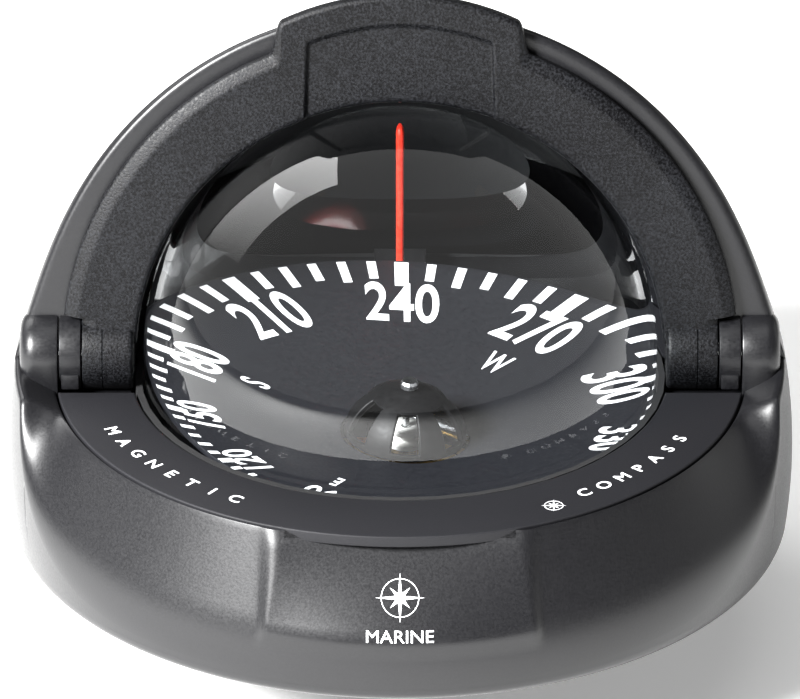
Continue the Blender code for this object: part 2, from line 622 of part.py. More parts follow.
# ---- visor and its hinges ----
def make_visor():
    axis = axis_empty("visor_hinge_axis", (0, 0, PIVOT_Z))
    face = -FACE_OFFSET
    # web and lip: turned about the view axis, then stood up on the hinge line
    web = turned("visor", [(WEB_R, -face), (LIP_R, -face - 1.1), (LIP_R, -face - 3.0), (WEB_INNER_R, -face - 3.0),
                           (WEB_INNER_R, -face - 1.0), (WEB_INNER_R + 1.2, -face)])
    web.data.transform(Matrix.Rotation(radians(90), 4, "X"))
    moved(web, z=PIVOT_Z)
    common(web, half("upper", low_z=PIVOT_Z - 3))
    # grip tab
    tab = rod("tab", 59.0, (0, face, PIVOT_Z + 22.2), (0, face + 3.5, PIVOT_Z + 22.2), tools, 64)
    common(tab, block("tab_sides", (-26.2, -20, PIVOT_Z + 60), (26.2, 20, PIVOT_Z + 90), tools))
    join(web, tab)
    scoop = rod("scoop", 53.0, (0, face - 1, PIVOT_Z + 22.2), (0, face + 0.9, PIVOT_Z + 22.2), tools, 64)
    common(scoop, block("scoop_sides", (-20.2, -20, PIVOT_Z + 40), (20.2, 20, PIVOT_Z + 90), tools))
    cut(web, scoop)
    tilted(web, LEAN_DEG)
    # shell: a slice of a hollow sphere behind the web
    shell = turned("shell", arc(SHELL_R, 90, 0, 9) + arc(SHELL_R - SHELL_WALL, 0, 90, 9), tools)
    middle = (90 + LEAN_DEG + TAIL_DEG) / 2
    tilted(shell, middle - 90)
    ahead = half("ahead", high_y=face + 2.0)
    below = half("below", high_z=PIVOT_Z)
    cut(shell, tilted(ahead, LEAN_DEG), tilted(below, TAIL_DEG - 180))
    join(web, shell)
    for side in (-1, 1):
        room = rod("cut_bush_room", HUB_R + 0.45, (side * (HUB_OUT + 0.15), 0, PIVOT_Z),
                   (side * (HUB_OUT + 9), 0, PIVOT_Z), tools, 28)
        cut(web, room)
        join(web, rod("hub", HUB_R, (side * HUB_IN, 0, PIVOT_Z), (side * HUB_OUT, 0, PIVOT_Z), tools, 28))
        cut(web, rod("cut_pin", PIN_R + 0.1, (side * 60, 0, PIVOT_Z), (side * 75, 0, PIVOT_Z), tools))
    dress(web, VISOR, axis)
    for name, side in (("left", -1), ("right", 1)):
        bush = rod("hinge_bush_" + name, HUB_R, (side * BUSH_IN, 0, PIVOT_Z), (side * BUSH_OUT, 0, PIVOT_Z),
                   parts, 28)
        cut(bush, rod("cut_pin", PIN_R + 0.3, (side * 60, 0, PIVOT_Z), (side * 80, 0, PIVOT_Z), tools))
        dress(bush, NYLON)
        dress(rod("hinge_pin_" + name, PIN_R, (side * 60.6, 0, PIVOT_Z), (side * 80.1, 0, PIVOT_Z)), STEEL)


finish_housing(make_housing())
make_plates()
make_base_fittings()
make_capsule()
make_expansion()
make_bowl_fittings()
make_compensator()
make_gimbal()
make_card()
hang_gimbal()
make_lubber()
make_visor()
bpy.context.view_layer.update()
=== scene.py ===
# Looks for a flush-mount steering compass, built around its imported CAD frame.
import json
from math import acos, asin, atan2, cos, degrees, exp, hypot, pi, radians, sin, sqrt, tan

import bmesh
import bpy
from mathutils import Matrix, Vector

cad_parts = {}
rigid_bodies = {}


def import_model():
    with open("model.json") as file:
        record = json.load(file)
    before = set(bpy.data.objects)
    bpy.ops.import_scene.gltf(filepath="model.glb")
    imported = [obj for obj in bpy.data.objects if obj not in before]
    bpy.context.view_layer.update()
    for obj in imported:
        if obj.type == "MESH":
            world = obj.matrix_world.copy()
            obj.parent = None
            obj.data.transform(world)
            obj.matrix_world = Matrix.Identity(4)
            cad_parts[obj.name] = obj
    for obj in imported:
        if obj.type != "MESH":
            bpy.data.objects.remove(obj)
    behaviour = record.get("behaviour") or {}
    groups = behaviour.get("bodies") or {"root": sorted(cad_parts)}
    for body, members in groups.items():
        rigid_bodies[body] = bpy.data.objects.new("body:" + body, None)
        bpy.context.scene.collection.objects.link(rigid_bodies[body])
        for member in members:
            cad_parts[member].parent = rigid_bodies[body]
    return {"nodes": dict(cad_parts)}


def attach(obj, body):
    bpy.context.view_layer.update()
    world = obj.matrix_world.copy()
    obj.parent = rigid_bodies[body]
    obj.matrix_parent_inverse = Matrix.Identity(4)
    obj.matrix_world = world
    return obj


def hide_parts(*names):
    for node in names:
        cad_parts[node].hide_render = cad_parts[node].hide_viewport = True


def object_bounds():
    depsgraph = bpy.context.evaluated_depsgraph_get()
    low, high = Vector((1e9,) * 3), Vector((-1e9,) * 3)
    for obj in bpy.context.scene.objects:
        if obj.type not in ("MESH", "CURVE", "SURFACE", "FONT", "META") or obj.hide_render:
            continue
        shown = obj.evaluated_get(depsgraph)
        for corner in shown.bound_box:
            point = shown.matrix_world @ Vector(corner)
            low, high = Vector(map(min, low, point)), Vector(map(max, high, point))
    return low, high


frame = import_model()
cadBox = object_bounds()
print("frame loaded:", len(frame["nodes"]), "nodes")

mm = 0.001
pivotZ = 40.1            # hinge line and dome centre, above the panel
lean = radians(9.5)      # the open visor leans back by this much
hub = Vector((0, 0, pivotZ))


# colours and nodes
def srgb(hexText):
    parts = [int(hexText[i:i + 2], 16) / 255 for i in (1, 3, 5)]
    return [c / 12.92 if c <= 0.04045 else ((c + 0.055) / 1.055) ** 2.4 for c in parts] + [1.0]


def addNode(tree, kind, inputs=None, **settings):
    node = tree.nodes.new("ShaderNode" + kind)
    for name, value in settings.items():
        setattr(node, name, value)
    for name, value in (inputs or {}).items():
        if isinstance(value, bpy.types.NodeSocket):
            tree.links.new(value, node.inputs[name])
        else:
            node.inputs[name].default_value = value
    return node


def newMaterial(name, **settings):
    material = bpy.data.materials.new(name)
    material.use_nodes = True
    tree = material.node_tree
    shader = tree.nodes["Principled BSDF"]
    for key, value in settings.items():
        shader.inputs[key].default_value = value
    return material, tree, shader


def objectNoise(tree, sizeMm, detail=2.0, stretch=None):
    place = addNode(tree, "TexCoord").outputs["Object"]
    if stretch:
        place = addNode(tree, "Mapping", {"Vector": place, "Scale": stretch}).outputs["Vector"]
    return addNode(tree, "TexNoise", {"Vector": place, "Scale": 1 / (sizeMm * mm), "Detail": detail,
                                      "Roughness": 0.55}).outputs["Fac"]


def moulded(name, dark, light, roughness, grainMm, depthMm, speckle=(0.35, 0.65), cloudMm=28.0,
            roughSpread=0.06, bump=0.6, shine=0.4):
    material, tree, shader = newMaterial(name, **{"Specular IOR Level": shine})
    grain = objectNoise(tree, grainMm)
    cloud = objectNoise(tree, cloudMm, 3.0)
    both = addNode(tree, "Mix", {"Factor": 0.2, "A": grain, "B": cloud}, data_type="FLOAT")
    ramp = addNode(tree, "ValToRGB", {"Fac": both.outputs["Result"]})
    ramp.color_ramp.elements[0].position, ramp.color_ramp.elements[1].position = speckle
    ramp.color_ramp.elements[0].color = srgb(dark)
    ramp.color_ramp.elements[1].color = srgb(light)
    rough = addNode(tree, "MapRange", {"Value": grain, "From Min": 0.3, "From Max": 0.7,
                                       "To Min": roughness - roughSpread, "To Max": roughness + roughSpread})
    relief = addNode(tree, "Bump", {"Height": grain, "Strength": bump, "Distance": depthMm * mm})
    tree.links.new(ramp.outputs["Color"], shader.inputs["Base Color"])
    tree.links.new(rough.outputs["Result"], shader.inputs["Roughness"])
    tree.links.new(relief.outputs["Normal"], shader.inputs["Normal"])
    return material


def turnedMetal(name, dark, light, roughness, pitchMm=0.35):
    material, tree, shader = newMaterial(name, Metallic=1.0)
    marks = objectNoise(tree, pitchMm, 2.0, (0.15, 0.15, 1.0))
    stain = objectNoise(tree, 6.0, 3.0)
    ramp = addNode(tree, "ValToRGB", {"Fac": stain})
    ramp.color_ramp.elements[0].position, ramp.color_ramp.elements[1].position = 0.35, 0.65
    ramp.color_ramp.elements[0].color = srgb(dark)
    ramp.color_ramp.elements[1].color = srgb(light)
    rough = addNode(tree, "MapRange", {"Value": marks, "From Min": 0.3, "From Max": 0.7,
                                       "To Min": roughness - 0.08, "To Max": roughness + 0.1})
    relief = addNode(tree, "Bump", {"Height": marks, "Strength": 0.25, "Distance": 0.02 * mm})
    tree.links.new(ramp.outputs["Color"], shader.inputs["Base Color"])
    tree.links.new(rough.outputs["Result"], shader.inputs["Roughness"])
    tree.links.new(relief.outputs["Normal"], shader.inputs["Normal"])
    return material


def clearGlass(name, tint, ior, roughness=0.0):
    # light passes straight on shadow rays, so what is inside is lit as through liquid
    material, tree, shader = newMaterial(name, **{"Base Color": srgb(tint), "Roughness": roughness, "IOR": ior,
                                                  "Transmission Weight": 1.0})
    straight = addNode(tree, "BsdfTransparent", {"Color": srgb(tint)})
    path = addNode(tree, "LightPath")
    mix = addNode(tree, "MixShader", {0: path.outputs["Is Shadow Ray"], 1: shader.outputs["BSDF"],
                                      2: straight.outputs["BSDF"]})
    tree.links.new(mix.outputs["Shader"], tree.nodes["Material Output"].inputs["Surface"])
    return material


# ASA, satin spark-eroded mould: broad soft highlights
satinAsa = moulded("satinAsa", "#0f0f11", "#151517", 0.36, 0.5, 0.035, roughSpread=0.04, bump=0.35)
# PBT, matt mould: flat face that takes the white pad print
mattPbt = moulded("mattPbt", "#111114", "#17171a", 0.6, 0.4, 0.03, roughSpread=0.05, bump=0.5, shine=0.25)
# ASA, coarse mould grain about half a millimetre: pale specks on near black
grainedAsa = moulded("grainedAsa", "#030304", "#1a1b1e", 0.5, 0.5, 0.1, (0.42, 0.7), roughSpread=0.12,
                     bump=0.8, shine=0.17)
# acetal: smooth, slightly waxy
blackAcetal = moulded("blackAcetal", "#0e0e10", "#151517", 0.4, 0.8, 0.01, shine=0.3)
darkNylon = moulded("darkNylon", "#060607", "#0b0b0c", 0.5, 0.8, 0.005, bump=0.1, shine=0.15)
whiteAcetal = moulded("whiteAcetal", "#dededa", "#f0f0ec", 0.35, 0.8, 0.01)
# card: blue-black satin paint on a thin moulded disc
cardPaint = moulded("cardPaint", "#141519", "#1a1b1f", 0.5, 0.6, 0.01, cloudMm=16.0)
nitrile = moulded("nitrile", "#121213", "#1c1c1d", 0.75, 0.3, 0.03)
foam = moulded("closedCellFoam", "#161617", "#242425", 0.9, 0.35, 0.12)
whitePrint = moulded("whitePrint", "#e6e8ea", "#f4f5f6", 0.5, 0.25, 0.006)
redEnamel = moulded("redEnamel", "#ee2a18", "#ff4632", 0.35, 0.5, 0.005)
brass = turnedMetal("turnedBrass", "#a3803c", "#c9a760", 0.32)
steel = turnedMetal("turnedStainless", "#a9abad", "#c8cacc", 0.26)
nickel = turnedMetal("platedMagnet", "#8f9194", "#b3b5b8", 0.28)
liquidDome = clearGlass("acrylicAndLiquid", "#f7f9fa", 1.42)
lampAcrylic = clearGlass("redLampAcrylic", "#ff8a78", 1.49, 0.02)
sapphire = clearGlass("sapphire", "#e9dcf4", 1.77)
print("materials made")


# shaping helpers
def softStep(value):
    value = min(max(value, 0.0), 1.0)
    return value * value * (3 - 2 * value)


def curveCorner(before, corner, after, steps):
    # a soft corner between two points, as a run of points
    run = []
    for i in range(steps + 1):
        t = i / steps
        run.append(before.lerp(corner, t).lerp(corner.lerp(after, t), t))
    return run


def roundCorners(corners, steps=4):
    # closed outline of (a, b, radius) corners, each one rounded
    points = []
    for i, (a, b, radius) in enumerate(corners):
        here = Vector((a, b))
        back = Vector(corners[i - 1][:2]) - here
        ahead = Vector(corners[(i + 1) % len(corners)][:2]) - here
        if radius <= 0:
            points.append(here)
            continue
        reach = min(radius / max(tan(back.angle(ahead) / 2), 0.2), back.length * 0.48, ahead.length * 0.48)
        points += curveCorner(here + back.normalized() * reach, here, here + ahead.normalized() * reach, steps)
    return points


def lathe(outline, axis="Z", steps=96, centre=(0, 0, 0), closed=True):
    # outline of (radius, distance along the axis) points
    bm = bmesh.new()
    put = {"Z": lambda r, h: (r, 0, h), "X": lambda r, h: (h, 0, r), "Y": lambda r, h: (r, h, 0)}[axis]
    line = {"Z": (0, 0, 1), "X": (1, 0, 0), "Y": (0, 1, 0)}[axis]
    dots = [bm.verts.new((Vector(put(*dot)) + Vector(centre)) * mm) for dot in outline]
    ring = [bm.edges.new(pair) for pair in zip(dots, dots[1:])]
    if closed:
        ring.append(bm.edges.new((dots[-1], dots[0])))
    bmesh.ops.spin(bm, geom=dots + ring, cent=Vector(centre) * mm, axis=line, angle=2 * pi, steps=steps,
                   use_merge=True)
    bmesh.ops.remove_doubles(bm, verts=bm.verts, dist=1e-6)
    return bm


def closedSheet(columns):
    # wraps a grid round a list of point columns; both ways round closed where the ends meet
    bm = bmesh.new()
    across, along = len(columns) - 1, len(columns[0]) - 1
    bmesh.ops.create_grid(bm, x_segments=across, y_segments=along, size=1)
    for vert in bm.verts:
        i = round((vert.co.x + 1) / 2 * across)
        j = round((vert.co.y + 1) / 2 * along)
        vert.co = columns[i][j] * mm
    bmesh.ops.remove_doubles(bm, verts=bm.verts, dist=1e-6)
    return bm


def capEnds(bm):
    open_ = [e for e in bm.edges if e.is_boundary]
    bmesh.ops.holes_fill(bm, edges=open_, sides=0)


def addPiece(name, bm, material, body, replaces=(), sharpDeg=32, tidyNormals=True):
    if tidyNormals:
        bmesh.ops.recalc_face_normals(bm, faces=bm.faces)
    mesh = bpy.data.meshes.new(name)
    bm.to_mesh(mesh)
    bm.free()
    mesh.materials.append(material)
    mesh.shade_smooth()
    mesh.set_sharp_from_angle(angle=radians(sharpDeg))
    piece = bpy.data.objects.new(name, mesh)
    bpy.context.scene.collection.objects.link(piece)
    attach(piece, body)
    if replaces:
        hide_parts(*replaces)
    return piece


def leanPoint(q, phi, behind):
    # polar point in the leaning plane of the open visor, millimetres
    up = q * sin(phi)
    return Vector((q * cos(phi), behind * cos(lean) + up * sin(lean),
                   pivotZ - behind * sin(lean) + up * cos(lean)))


def blockOf(bm, low, high, bevel=0.0, segments=2):
    made = bmesh.ops.create_cube(bm, size=1)["verts"]
    size = [(b - a) * mm for a, b in zip(low, high)]
    bmesh.ops.scale(bm, vec=size, verts=made)
    bmesh.ops.translate(bm, vec=[(a + b) / 2 * mm for a, b in zip(low, high)], verts=made)
    if bevel:
        rims = list({e for v in made for e in v.link_edges})
        bmesh.ops.bevel(bm, geom=rims, offset=bevel * mm, segments=segments, affect="EDGES", profile=0.5,
                        material=-1)
    return bm


# base housing
housing = {
    "flankRadius": 85.8, "flankHeight": 17.0, "flankCurve": 1.19, "footRound": 3.0,
    "seatRadius": 75.3, "seatTop": 34.2, "deck": 31.6,
    "hoodRadius": 78.1, "hoodFlare": 5.5, "flareDeg": 12.0, "hoodSquash": 0.13, "hoodDepth": 80.0,
    "rimAhead": 1.6, "rimRound": 2.2, "cavityRadius": 69.4, "cavityRound": 0.7,
    "neckRadius": 58.7, "boreRadius": 60.9, "underside": 2.4, "gasketSeat": 80.4,
    "panelFoot": 13.4, "panelHalfFoot": 29.2, "panelHalfTop": 24.6,
}


def flankAt(z):
    h = housing
    return h["flankRadius"] - h["flankCurve"] * ((z - h["flankHeight"]) / h["flankHeight"]) ** 2


def creaseHeight(ahead):
    wall = 10.4 + 26 * exp(-(ahead - 20) / 13)
    cap = 38.0 + 2.0 * (1 - ahead / 20)
    return softMin(wall, cap, 1.2)


def softMin(a, b, blur):
    gap = max(blur * 2 - abs(a - b), 0) / (blur * 2)
    return min(a, b) - gap * gap * blur / 2


def skinPoint(azimuth, rise):
    # outside of the hood above the hinge height, in its vertical section: (radius, height)
    h = housing
    r = h["hoodRadius"] + h["hoodFlare"] * exp(-degrees(rise) / h["flareDeg"])
    flat, z = r * cos(rise), r * sin(rise)
    behind = flat * sin(azimuth) * cos(lean) - z * sin(lean) + h["rimAhead"]
    if behind > 0:
        z *= 1 - h["hoodSquash"] * sin(pi * min(behind, h["hoodDepth"]) / h["hoodDepth"])
    return flat, z


def behindRim(azimuth, flat, z):
    return flat * sin(azimuth) * cos(lean) - z * sin(lean) + housing["rimAhead"]


def riseWhere(azimuth, behind):
    low, high = 0.0, pi / 2
    if behindRim(azimuth, *skinPoint(azimuth, low)) <= behind:
        return 0.0
    for _ in range(40):
        middle = (low + high) / 2
        if behindRim(azimuth, *skinPoint(azimuth, middle)) > behind:
            low = middle
        else:
            high = middle
    return low


def rimPoint(azimuth, q, behind):
    # point at a radius q about the leaning axis, in the vertical section at an azimuth
    offset = behind - housing["rimAhead"]
    a, b, c = q * sin(azimuth), q * sin(lean) * cos(azimuth), offset * cos(lean) * cos(azimuth)
    phi = acos(max(-1, min(1, c / hypot(a, b)))) - atan2(b, a)
    spot = leanPoint(q, phi, offset)
    return Vector((hypot(spot.x, spot.y), spot.z))


def rearColumn(azimuth):
    h = housing
    skin = [Vector((flat, pivotZ + z)) for flat, z in
            (skinPoint(azimuth, riseWhere(azimuth, h["rimRound"]) * i / 23) for i in range(24))]
    edge = riseWhere(azimuth, 0.0)
    flat, z = skinPoint(azimuth, edge)
    corner = Vector((flat, pivotZ + z))
    q = sqrt(max(flat * flat + z * z - h["rimAhead"] ** 2, 1))
    outer = rimPoint(azimuth, q - h["rimRound"], 0)
    inner = rimPoint(azimuth, h["cavityRadius"] + h["cavityRound"], 0)
    innerCorner = rimPoint(azimuth, h["cavityRadius"], 0)
    inside = rimPoint(azimuth, sqrt(h["cavityRadius"] ** 2 - 0.8), h["cavityRound"])
    start = atan2(inside.y - pivotZ, inside.x)
    stop = -asin((pivotZ - h["deck"]) / h["cavityRadius"])
    cave = [Vector((h["cavityRadius"] * cos(start + (stop - start) * i / 13),
                    pivotZ + h["cavityRadius"] * sin(start + (stop - start) * i / 13))) for i in range(14)]
    return skin, curveCorner(skin[-1], corner, outer, 7), [outer.lerp(inner, i / 15) for i in range(16)], \
        curveCorner(inner, innerCorner, inside, 3), cave


def frontColumn(azimuth):
    h = housing
    ahead = max(-sin(azimuth) * 85, 0)
    top = creaseHeight(ahead)
    corner = Vector((flankAt(top), top))
    lip = Vector((h["seatRadius"], h["seatTop"]))
    softness = 2.0 + 4.5 * softStep((ahead - 15) / 45)
    below = Vector((flankAt(top - softness), top - softness))
    slope = (lip - corner)
    upper = corner + slope * (softness / slope.length)
    skin = [Vector((flankAt(z), z)) for z in (22 + (below.y - 22) * i / 23 if below.y > 22 else
            below.y * (0.55 + 0.45 * i / 23) for i in range(24))]
    skin[-1] = below
    start = lip - slope * (0.5 / slope.length)
    stop = lip - Vector((0, 0.5))
    wall = [Vector((h["seatRadius"], stop.y + (h["deck"] - stop.y) * i / 13)) for i in range(14)]
    return skin, curveCorner(below, corner, upper, 7), [upper.lerp(start, i / 15) for i in range(16)], \
        curveCorner(start, lip, stop, 3), wall


def panelSurface(x, z):
    # the grip recess: how far ahead its face is, flat under the plate and round at its foot
    share = min(max((z - housing["panelFoot"]) / 18.1, 0), 1.2)
    return 85.4 - 12.9 * share - (1 - min(share, 1)) * x * x / 2 / 85


def panelWeight(x, z):
    h = housing
    share = min(max((z - h["panelFoot"]) / 20, 0), 1)
    half = h["panelHalfFoot"] + (h["panelHalfTop"] - h["panelHalfFoot"]) * share
    shoulder = 1.0 + 4.5 * share
    return (1 - softStep((abs(x) - half) / shoulder)) * softStep((z - h["panelFoot"] + 0.7) / 0.7)


def housingColumn(azimuth, rear):
    h = housing
    skin, crease, face, lip, wall = (rearColumn if rear else frontColumn)(azimuth)
    foot = flankAt(h["footRound"])
    flankTop = skin[0].y
    line = [Vector((h["boreRadius"], h["underside"])), Vector((h["gasketSeat"], h["underside"])),
            Vector((h["gasketSeat"], 0.3))]
    line += curveCorner(Vector((foot - h["footRound"], 0)), Vector((foot, 0)),
                        Vector((foot, h["footRound"])), 5)
    line += [Vector((flankAt(z), z)) for z in
             (h["footRound"] + (flankTop - h["footRound"]) * i / 12 for i in range(1, 12))]
    line += skin + crease[1:] + face[1:] + lip[1:] + wall[1:]
    line += [Vector((h["neckRadius"], h["deck"])), Vector((h["neckRadius"], 28.8)),
             Vector((h["boreRadius"], 28.4)), Vector((h["boreRadius"], h["underside"]))]
    column = []
    for dot in line:
        spot = Vector((dot.x * cos(azimuth), dot.x * sin(azimuth), dot.y))
        if not rear and spot.y < -60 and 9 < spot.z < 34.5 and dot.x > 70:
            weight = panelWeight(spot.x, spot.z)
            if weight > 0:
                spot.y += weight * (-panelSurface(spot.x, spot.z) - spot.y)
        column.append(spot)
    return column


def makeHousing():
    h = housing
    turn = asin(h["rimAhead"] / h["flankRadius"])
    fromRim = []
    for step in range(0, 91):
        phi = radians(step * 2)
        spot = leanPoint(h["hoodRadius"], phi, -h["rimAhead"])
        fromRim.append(atan2(spot.y, spot.x))
    even = [radians(a) for a in range(2, 179, 3)]
    azimuths, last = [], -9
    for azimuth in sorted(fromRim + even):
        if azimuth - last > radians(0.12) and -turn < azimuth < pi + turn:
            azimuths.append(azimuth)
            last = azimuth
    columns = [housingColumn(-turn, True)]
    columns += [housingColumn(a, True) for a in azimuths]
    columns.append(housingColumn(pi + turn, True))
    count = 320
    first, final = pi + turn, 2 * pi - turn
    columns += [housingColumn(first + (final - first) * i / count, False) for i in range(count + 1)]
    columns.append(columns[0])
    addPiece("housingShell", closedSheet(columns), satinAsa, "housing", ["base_housing"],
             sharpDeg=50)


hinge = {"radius": 8.5, "knuckle": (74.3, 82.6), "endRound": 3.2, "skirtFoot": 24.0, "hub": (57.9, 69.0),
         "split": 64.6, "bush": (69.3, 74.0), "steps": 64, "lowerFrom": 0.3, "squareFrom": 4}


def makeKnuckles():
    for name, side in (("Left", -1), ("Right", 1)):
        bm = bmesh.new()
        bmesh.ops.create_circle(bm, cap_ends=True, segments=hinge["steps"], radius=hinge["radius"] * mm)
        bmesh.ops.rotate(bm, cent=(0, 0, 0), matrix=Matrix.Rotation(radians(90), 3, "Y"), verts=bm.verts)
        for vert in bm.verts:
            if vert.co.z < -hinge["lowerFrom"] * mm:      # the lower half runs down into the apron
                vert.co.z = (hinge["skirtFoot"] - pivotZ) * mm
                if abs(vert.co.y) > hinge["squareFrom"] * mm:
                    vert.co.y = (1 if vert.co.y > 0 else -1) * hinge["radius"] * mm
                else:
                    vert.co.y *= 2
        bmesh.ops.remove_doubles(bm, verts=bm.verts, dist=1e-6)
        inner, outer = hinge["knuckle"]
        bmesh.ops.translate(bm, vec=(side * inner * mm, 0, pivotZ * mm), verts=bm.verts)
        face = bm.faces[:][0]
        grown = bmesh.ops.extrude_face_region(bm, geom=[face])["geom"]
        fresh = [g for g in grown if isinstance(g, bmesh.types.BMVert)]
        bmesh.ops.translate(bm, vec=(side * (outer - inner) * mm, 0, 0), verts=fresh)
        bmesh.ops.delete(bm, geom=[f for f in bm.faces if len(f.verts) > 4 and not set(f.verts) & set(fresh)
                                   and f != face], context="FACES_ONLY")
        bmesh.ops.remove_doubles(bm, verts=bm.verts, dist=1e-6)
        rim = [e for e in bm.edges if set(e.verts) <= set(fresh)]
        bmesh.ops.bevel(bm, geom=rim, offset=hinge["endRound"] * mm, segments=6, affect="EDGES",
                        profile=0.5, material=-1)
        near = [e for e in bm.edges if all(abs(abs(v.co.x) - inner * mm) < 1e-6 for v in e.verts)]
        bmesh.ops.bevel(bm, geom=near, offset=0.35 * mm, segments=2, affect="EDGES", profile=0.5, material=-1)
        addPiece("hingeKnuckle" + name, bm, satinAsa, "housing", ["base_housing"])


def makeBushes():
    low, high = hinge["bush"]
    r = hinge["radius"] - 0.1
    for name, side in (("left", -1), ("right", 1)):
        ends = sorted((side * low, side * high))
        outline = roundCorners([(2.9, ends[0], 0), (r, ends[0], 0.3), (r, ends[1], 0.3), (2.9, ends[1], 0)], 3)
        bm = lathe([(p.x, p.y) for p in outline], "X", hinge["steps"], hub)
        addPiece("hingeBush" + name.title(), bm, blackAcetal, "housing", ["hinge_bush_" + name])
        # the flat key that stops the bush from turning
        key = bmesh.new()
        centre = side * (low + high) / 2
        blockOf(key, (centre - 1.9, -r - 0.15, pivotZ - 5.4), (centre + 1.9, -r + 2.2, pivotZ - 1.9), 0.25)
        addPiece("bushKey" + name.title(), key, blackAcetal, "housing")


# bezel plate and its print
plate = {"radius": 74.8, "hole": 58.2, "top": 34.4, "thick": 2.5, "edge": 0.45, "notch": -9.1}


def makePlate():
    p = plate
    low = p["top"] - p["thick"]
    outline = roundCorners([(p["hole"], low, 0.2), (p["radius"], low, 0.3), (p["radius"], p["top"], p["edge"]),
                            (p["hole"], p["top"], 0.6)], 4)
    bm = lathe([(q.x, q.y) for q in outline], "Z", 192)
    bmesh.ops.bisect_plane(bm, geom=bm.verts[:] + bm.edges[:] + bm.faces[:], plane_co=(0, p["notch"] * mm, 0),
                           plane_no=(0, 1, 0), clear_outer=True)
    capEnds(bm)
    cutRims = [e for e in bm.edges if all(abs(v.co.y - p["notch"] * mm) < 1e-6 for v in e.verts)
               and all(v.co.z > (p["top"] - 0.05) * mm for v in e.verts)]
    bmesh.ops.bevel(bm, geom=cutRims, offset=0.4 * mm, segments=3, affect="EDGES", profile=0.5, material=-1)
    addPiece("bezelPlate", bm, mattPbt, "housing", ["bezel_plate"], sharpDeg=40)


def letterMesh(text, height, thick=0.04, narrow=1.0, bold=0.0):
    curve = bpy.data.curves.new("letter", "FONT")
    curve.body = text
    curve.align_x, curve.align_y = "CENTER", "CENTER"
    curve.size = height * 1.38 * mm
    curve.extrude = thick / 2 * mm
    curve.offset = bold * mm
    curve.resolution_u = 6
    holder = bpy.data.objects.new("letter", curve)
    bpy.context.scene.collection.objects.link(holder)
    bpy.context.view_layer.update()
    mesh = bpy.data.meshes.new_from_object(holder.evaluated_get(bpy.context.evaluated_depsgraph_get()))
    bpy.data.objects.remove(holder)
    bm = bmesh.new()
    bm.from_mesh(mesh)
    bpy.data.meshes.remove(mesh)
    bmesh.ops.remove_doubles(bm, verts=bm.verts, dist=1e-7)
    low = min(v.co.x for v in bm.verts) + max(v.co.x for v in bm.verts)
    bmesh.ops.translate(bm, vec=(-low / 2, 0, 0), verts=bm.verts)
    bmesh.ops.scale(bm, vec=(narrow, 1, 1), verts=bm.verts)
    return bm


def gather(target, source):
    # moves one bmesh's shape into another
    mesh = bpy.data.meshes.new("gathered")
    source.to_mesh(mesh)
    source.free()
    target.from_mesh(mesh)
    bpy.data.meshes.remove(mesh)


plateWords = {"radius": 67.6, "height": 3.0, "left": ("MAGNETIC", -66.5, 5.05), "right": ("COMPASS", 35.5, 4.6)}


def makePlateWords():
    w = plateWords
    for name in ("left", "right"):
        word, start, pace = w[name]
        bm = bmesh.new()
        for place, letter in enumerate(word):
            turn = radians(start + pace * place)         # from straight ahead, to the right
            one = letterMesh(letter, w["height"], narrow=1.08, bold=0.05)
            spot = Vector((w["radius"] * sin(turn), -w["radius"] * cos(turn), plate["top"] + 0.01)) * mm
            bmesh.ops.transform(one, matrix=Matrix.Translation(spot) @ Matrix.Rotation(turn, 4, "Z"),
                                verts=one.verts)
            gather(bm, one)
        addPiece("platePrint" + name.title(), bm, whitePrint, "housing", tidyNormals=False)
    # a plain eight-point rose between the words and the grip
    rose = roseMesh(2.6, 1.9)
    turn = radians(28.2)
    spot = Vector((69 * sin(turn), -69 * cos(turn), plate["top"] + 0.01)) * mm
    bmesh.ops.transform(rose, matrix=Matrix.Translation(spot), verts=rose.verts)
    addPiece("plateRose", rose, whitePrint, "housing")


def roseMesh(long, ring, thick=0.04):
    # four long and four short points round a thin ring
    bm = bmesh.new()
    bmesh.ops.create_circle(bm, cap_ends=True, segments=16, radius=long * mm)
    for vert in bm.verts:
        step = round(degrees(atan2(vert.co.y, vert.co.x)) / 22.5) % 16
        vert.co *= 1.0 if step % 4 == 0 else 0.58 if step % 2 == 0 else 0.2
    face = bm.faces[:][0]
    grown = bmesh.ops.extrude_face_region(bm, geom=[face])["geom"]
    raised = [g for g in grown if isinstance(g, bmesh.types.BMVert)]
    bmesh.ops.translate(bm, vec=(0, 0, thick * mm), verts=raised)
    circle = lathe([(ring, 0), (ring + 0.16, 0), (ring + 0.16, thick), (ring, thick)], "Z", 40)
    gather(bm, circle)
    return bm


def makeGripPrint():
    bm = roseMesh(5.2, 3.9)
    word = letterMesh("MARINE", 2.7, narrow=1.1)
    bmesh.ops.translate(word, vec=(0, -8.2 * mm, 0), verts=word.verts)
    gather(bm, word)
    for vert in bm.verts:               # wrapped on to the slope of the grip recess
        x, up, proud = (c / mm for c in vert.co)
        z = 22.2 + up * 0.84
        y = -panelSurface(x, z) - 0.02 - proud
        vert.co = Vector((x, y, z)) * mm
    addPiece("gripPrint", bm, whitePrint, "housing", tidyNormals=False)


# visor
visor = {
    "faceAhead": 5.4, "webInner": 57.2, "webOuter": 70.7, "lip": 73.5, "lipDepth": 1.1, "thick": 3.0,
    "tabThick": 3.5, "tabCentre": 22.2, "tabRadius": 59.0, "tabFrom": 68.2, "shell": 68.7, "wall": 2.2,
    "scoopHalf": 20.2, "scoopRadius": 53.2, "scoopDepth": 1.0, "tail": 197.0,
    "endAt": 3.0, "reliefTo": 7.25, "reliefOuter": 69.1,
}


